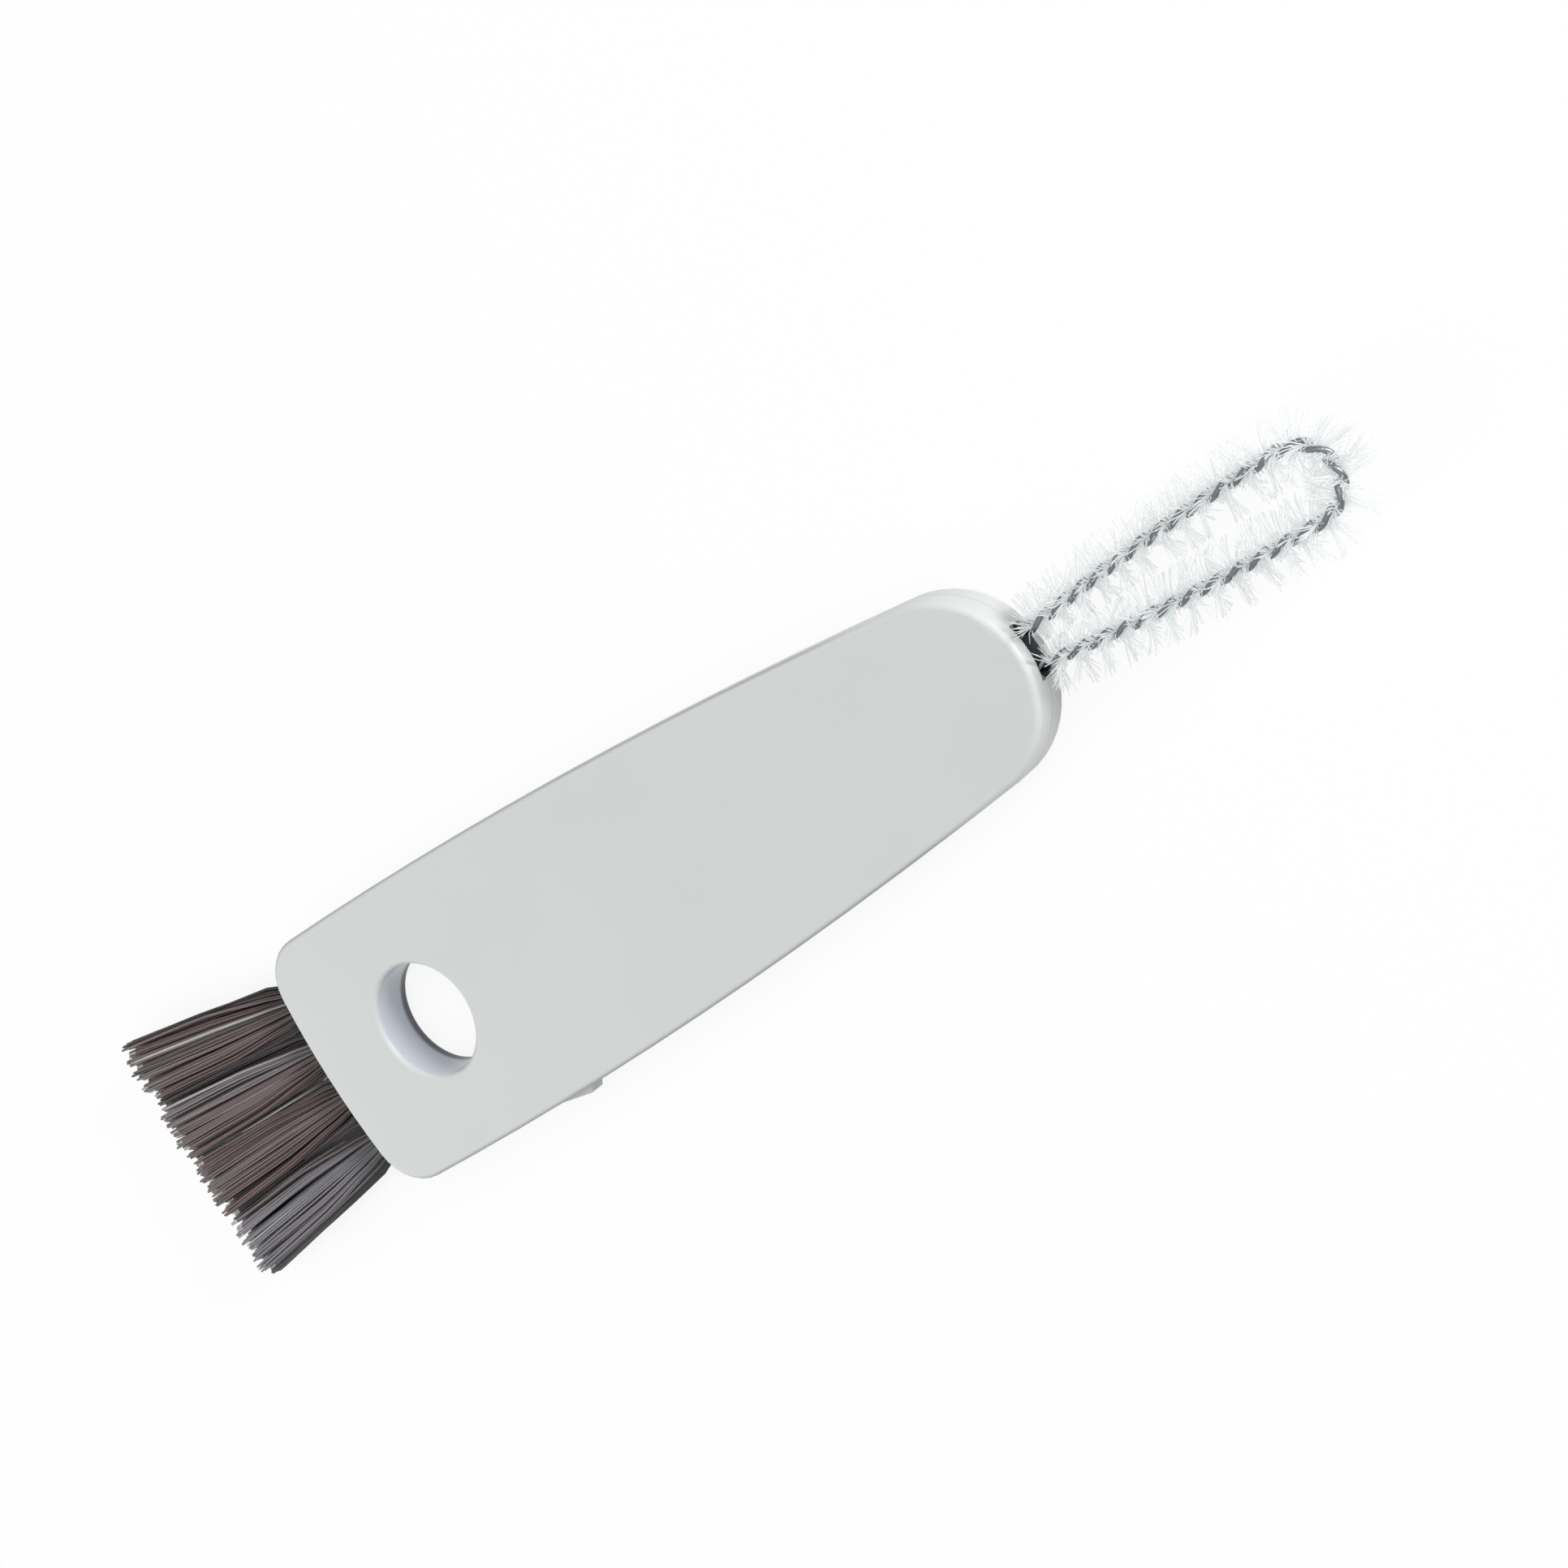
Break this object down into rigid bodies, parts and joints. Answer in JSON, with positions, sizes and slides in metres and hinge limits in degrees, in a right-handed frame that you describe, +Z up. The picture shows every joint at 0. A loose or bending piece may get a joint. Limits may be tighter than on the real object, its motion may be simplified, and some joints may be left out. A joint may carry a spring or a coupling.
{
  "type": "crevice brush",
  "caption": "Slim hand brush for crevices: a flat tapered handle with a hanging hole, a fanned flat bristle head at the wide end and a twisted-wire loop brush at the round tip.",
  "frame": {"origin": "on the hanging hole's axis, at half the handle's thickness", "axes": "+X along the handle from the bristles to the wire loop, +Y across the handle, +Z up through its front face"},
  "size_m": [0.1422, 0.0277, 0.0053],
  "materials": {
    "handle_plastic": "satin, injection moulded",
    "bristle": "drawn monofilament, dark brown and grey",
    "anchor_wire": "flattened wire",
    "loop_wire": "drawn stainless wire",
    "loop_filament": "clear to white monofilament",
    "clip_metal": "crimped sheet"
  },
  "bodies": {
    "root": {"handle": "handle_plastic", "tuft_1": "bristle", "tuft_2": "bristle", "tuft_3": "bristle", "tuft_4": "bristle", "tuft_anchor_1": "anchor_wire", "tuft_anchor_2": "anchor_wire", "tuft_anchor_3": "anchor_wire", "tuft_anchor_4": "anchor_wire", "loop_wire_a": "loop_wire", "loop_wire_b": "loop_wire", "loop_filaments": "loop_filament", "tail_clip": "clip_metal"}
  },
  "joints": []
}
